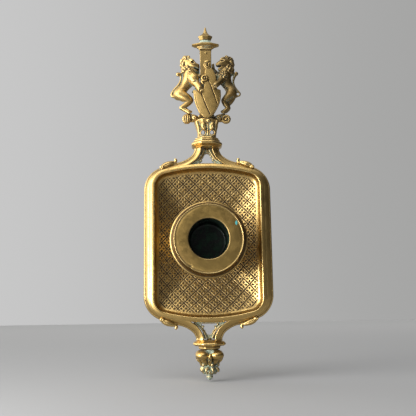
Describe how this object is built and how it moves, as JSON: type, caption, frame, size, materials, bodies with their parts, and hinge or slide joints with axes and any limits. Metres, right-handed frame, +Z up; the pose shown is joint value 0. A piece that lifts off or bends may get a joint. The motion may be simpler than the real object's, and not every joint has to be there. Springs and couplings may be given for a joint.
{
  "type": "wall sconce candle holder",
  "caption": "Gothic-revival brass wall sconce: dished tray in a moulded frame, forward-facing candle socket with lift-out nozzle, armorial lion crest above and turned drop below.",
  "frame": {"origin": "on the wall plane behind the centre of the candle socket, on the flat back of the foot cap", "axes": "+Z up the wall, +X to the viewer's right, the front and the candle socket face -Y"},
  "size_m": [0.0726, 0.0315, 0.2064],
  "materials": {
    "frame_brass": "aged cast brass, polished by handling on the high parts",
    "tray_brass": "aged brass with an engraved and punched diaper pattern",
    "crest_brass": "cast brass, bright on the high parts, dark and green in the recesses",
    "verdigris_brass": "aged brass with pale green verdigris in the hollows",
    "nozzle_brass": "turned brass, satin, with a dark green bore",
    "hidden_brass": "dull unpolished brass"
  },
  "bodies": {
    "sconce": {"rim_frame": "frame_brass", "dish_pan": "tray_brass", "leaf_scroll_upper_right": "frame_brass", "leaf_scroll_upper_left": "frame_brass", "leaf_scroll_lower_right": "frame_brass", "leaf_scroll_lower_left": "frame_brass", "tracery_upper": "verdigris_brass", "tracery_lower": "verdigris_brass", "collar_upper": "frame_brass", "neck_capital": "crest_brass", "crest_stud": "hidden_brass", "crest_post": "frame_brass", "pinnacle_roof": "verdigris_brass", "pinnacle_finial": "frame_brass", "post_pin": "crest_brass", "shield": "crest_brass", "bud_cluster_left": "crest_brass", "bud_cluster_right": "crest_brass", "lion_left": "crest_brass", "lion_right": "crest_brass", "collar_lower": "frame_brass", "drop_bulb": "frame_brass", "drop_stud": "hidden_brass", "drop_leaves": "verdigris_brass", "drop_tip": "verdigris_brass", "candle_socket": "nozzle_brass", "socket_screw": "hidden_brass", "socket_washer": "hidden_brass", "socket_nut": "hidden_brass", "foot_cap": "hidden_brass", "hanger": "hidden_brass", "hanger_rivet_1": "hidden_brass", "hanger_rivet_2": "hidden_brass"},
    "nozzle": {"nozzle": "nozzle_brass"}
  },
  "joints": [
    {"name": "nozzle_lift", "type": "slide", "parent": "sconce", "child": "nozzle", "axis": [0, -1, 0], "range_m": [0, 0.03]}
  ]
}
